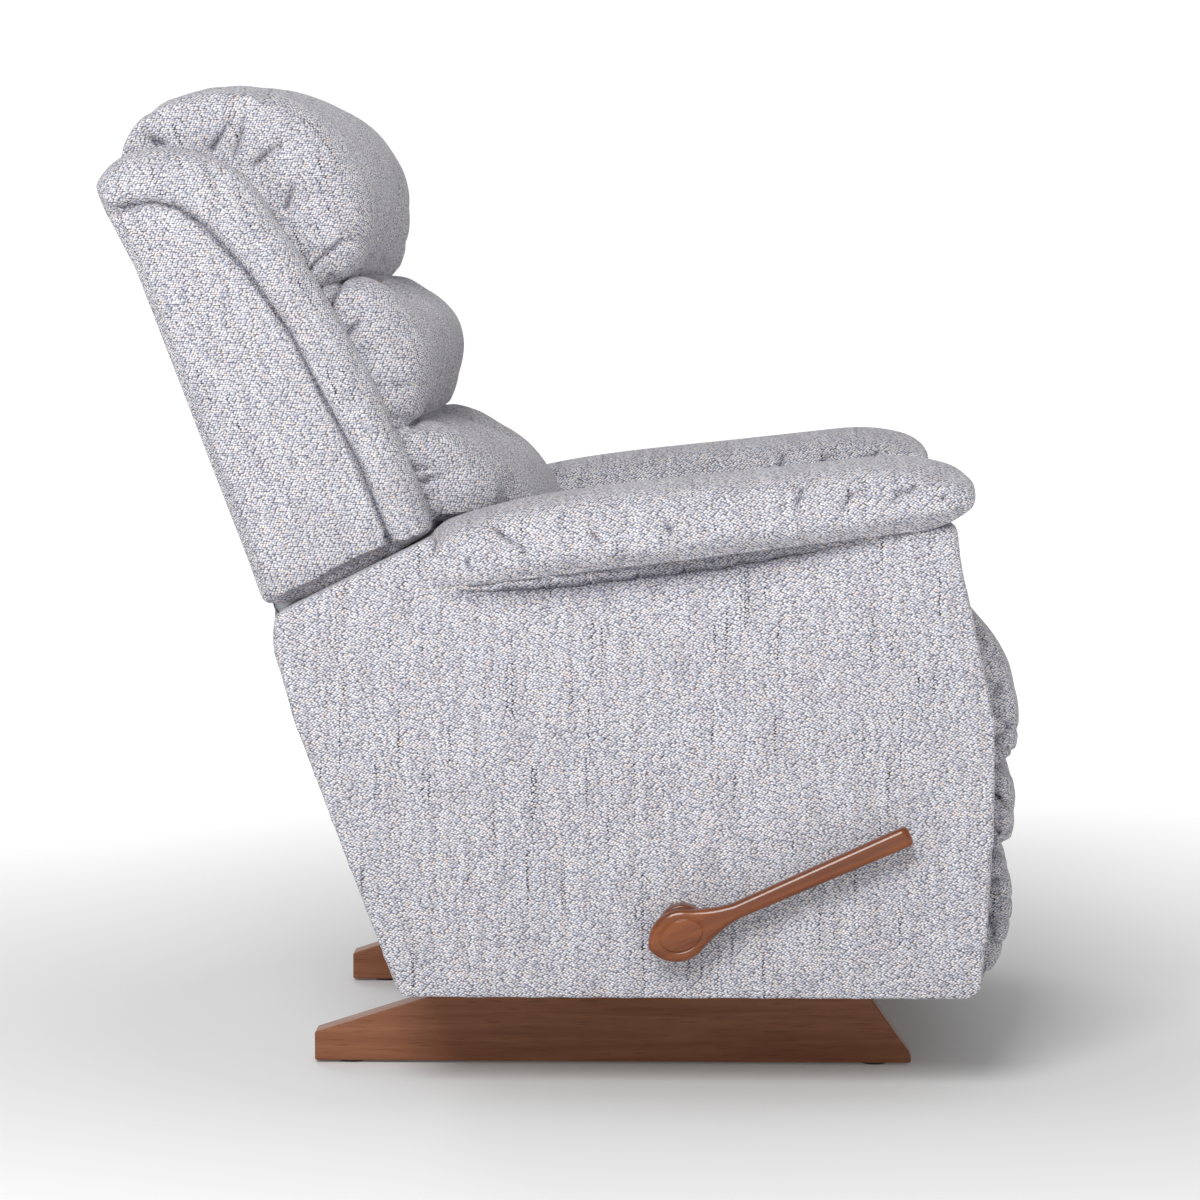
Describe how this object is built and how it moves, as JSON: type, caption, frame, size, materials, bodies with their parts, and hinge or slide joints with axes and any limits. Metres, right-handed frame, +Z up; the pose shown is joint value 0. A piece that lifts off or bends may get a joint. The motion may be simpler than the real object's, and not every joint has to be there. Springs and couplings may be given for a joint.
{
  "type": "rocking recliner",
  "caption": "Upholstered rocking recliner: pillow back that reclines with the seat, padded arms, lever-driven fold-out footrest, body rocking on a sprung wooden base.",
  "frame": {"origin": "middle of the overall box, on the floor", "axes": "+X forward, the way the sitter faces; +Y to the sitter's left; +Z up"},
  "size_m": [0.9824, 0.9456, 1.0725],
  "materials": {
    "tweed": "woven heathered tweed over foam",
    "stained_hardwood": "dark stained and lacquered",
    "frame_hardwood": "planed, unfinished",
    "plywood": "sawn, unfinished",
    "pressed_steel": "black enamelled pressings",
    "spring_steel": "drawn spring wire",
    "black_nylon": "moulded"
  },
  "bodies": {
    "base": {"base_rail_left": "stained_hardwood", "base_rail_right": "stained_hardwood", "base_cross_rails": "frame_hardwood", "floor_glides": "black_nylon", "base_corner_brackets": "pressed_steel", "lower_spring_seats": "pressed_steel", "rocker_springs": "spring_steel"},
    "body": {"rocker_cam_left": "frame_hardwood", "rocker_cam_right": "frame_hardwood", "front_cross_rail": "frame_hardwood", "rear_cross_rail": "frame_hardwood", "upper_spring_seats": "pressed_steel", "side_board_left": "plywood", "side_board_right": "plywood", "side_cover_left": "tweed", "side_cover_right": "tweed", "arm_pad_left": "tweed", "arm_pad_right": "tweed", "rear_cover": "tweed", "mechanism_plate_left": "pressed_steel", "mechanism_plate_right": "pressed_steel", "support_rod": "pressed_steel", "rod_bushes": "black_nylon", "guide_studs": "pressed_steel", "mechanism_bolts": "pressed_steel", "back_hinge_plates": "pressed_steel", "back_hinge_pins": "pressed_steel", "seat_pivot_bolts": "pressed_steel"},
    "drive": {"drive_rod": "pressed_steel", "drive_cranks": "pressed_steel", "handle": "stained_hardwood", "handle_hub": "stained_hardwood", "handle_badge": "stained_hardwood"},
    "drive_links": {"drive_links": "pressed_steel"},
    "rear_leg_links": {"rear_leg_link_left": "pressed_steel", "rear_leg_link_right": "pressed_steel", "rear_link_rivets": "pressed_steel"},
    "front_leg_links": {"front_leg_link_left": "pressed_steel", "front_leg_link_right": "pressed_steel", "front_link_rivets": "pressed_steel"},
    "lower_guide_links": {"lower_guide_links": "pressed_steel"},
    "upper_guide_links": {"upper_guide_links": "pressed_steel"},
    "footrest": {"footrest_board": "plywood", "footrest_brackets": "pressed_steel", "footrest_pad": "tweed"},
    "seat": {"seat_side_rails": "frame_hardwood", "seat_cross_rails": "frame_hardwood", "seat_springs": "spring_steel", "seat_cushion": "tweed"},
    "back": {"back_stiles": "frame_hardwood", "back_cross_rails": "frame_hardwood", "back_springs": "spring_steel", "head_pillow": "tweed", "middle_pillow": "tweed", "lower_pillow": "tweed", "back_wing_left": "tweed", "back_wing_right": "tweed", "back_rear_cover": "tweed", "back_hinge_straps": "pressed_steel"}
  },
  "joints": [
    {"name": "rock", "type": "hinge", "parent": "base", "child": "body", "pos_m": [0.045, 0, 0.14], "axis": [0, 1, 0], "range_deg": [-8, 6], "stiffness_Nm_per_rad": 1600, "deforming": ["rocker_springs"]},
    {"name": "recline", "type": "hinge", "parent": "body", "child": "back", "pos_m": [-0.30069, 0, 0.52997], "axis": [0, -1, 0], "range_deg": [0, 28]},
    {"name": "seat_tilt", "type": "hinge", "parent": "body", "child": "seat", "pos_m": [-0.17, 0, 0.398], "axis": [0, -1, 0], "range_deg": [-0.2, 6.2]},
    {"name": "handle_turn", "type": "hinge", "parent": "body", "child": "drive", "pos_m": [0.121, 0, 0.184], "axis": [0, -1, 0], "range_deg": [0, 90]},
    {"name": "drive_link_turn", "type": "hinge", "parent": "drive", "child": "drive_links", "pos_m": [0.12516, 0, 0.13919], "axis": [0, -1, 0], "range_deg": [-87.91, 0.5]},
    {"name": "rear_link_turn", "type": "hinge", "parent": "body", "child": "rear_leg_links", "pos_m": [0.285, 0, 0.33], "axis": [0, -1, 0], "range_deg": [-0.5, 56.05]},
    {"name": "front_link_turn", "type": "hinge", "parent": "rear_leg_links", "child": "front_leg_links", "pos_m": [0.37515, 0, 0.16275], "axis": [0, -1, 0], "range_deg": [-111.9, 0.5]},
    {"name": "lower_guide_turn", "type": "hinge", "parent": "body", "child": "lower_guide_links", "pos_m": [0.2517, 0, 0.2859], "axis": [0, -1, 0], "range_deg": [-0.5, 54.52]},
    {"name": "upper_guide_turn", "type": "hinge", "parent": "rear_leg_links", "child": "upper_guide_links", "pos_m": [0.38787, 0, 0.13916], "axis": [0, -1, 0], "range_deg": [-111.87, 0.5]},
    {"name": "footrest_turn", "type": "hinge", "parent": "front_leg_links", "child": "footrest", "pos_m": [0.392, 0, 0.352], "axis": [0, -1, 0], "range_deg": [-0.5, 146.35]}
  ],
  "couplings": [
    {"joint": "rear_link_turn", "follows": "handle_turn", "ratio": 0.6172},
    {"joint": "front_link_turn", "follows": "handle_turn", "ratio": -1.2378},
    {"joint": "footrest_turn", "follows": "handle_turn", "ratio": 1.6206},
    {"joint": "lower_guide_turn", "follows": "handle_turn", "ratio": 0.60026},
    {"joint": "upper_guide_turn", "follows": "handle_turn", "ratio": -1.2374},
    {"joint": "drive_link_turn", "follows": "handle_turn", "ratio": -0.9712},
    {"joint": "seat_tilt", "follows": "recline", "ratio": 0.21429}
  ]
}
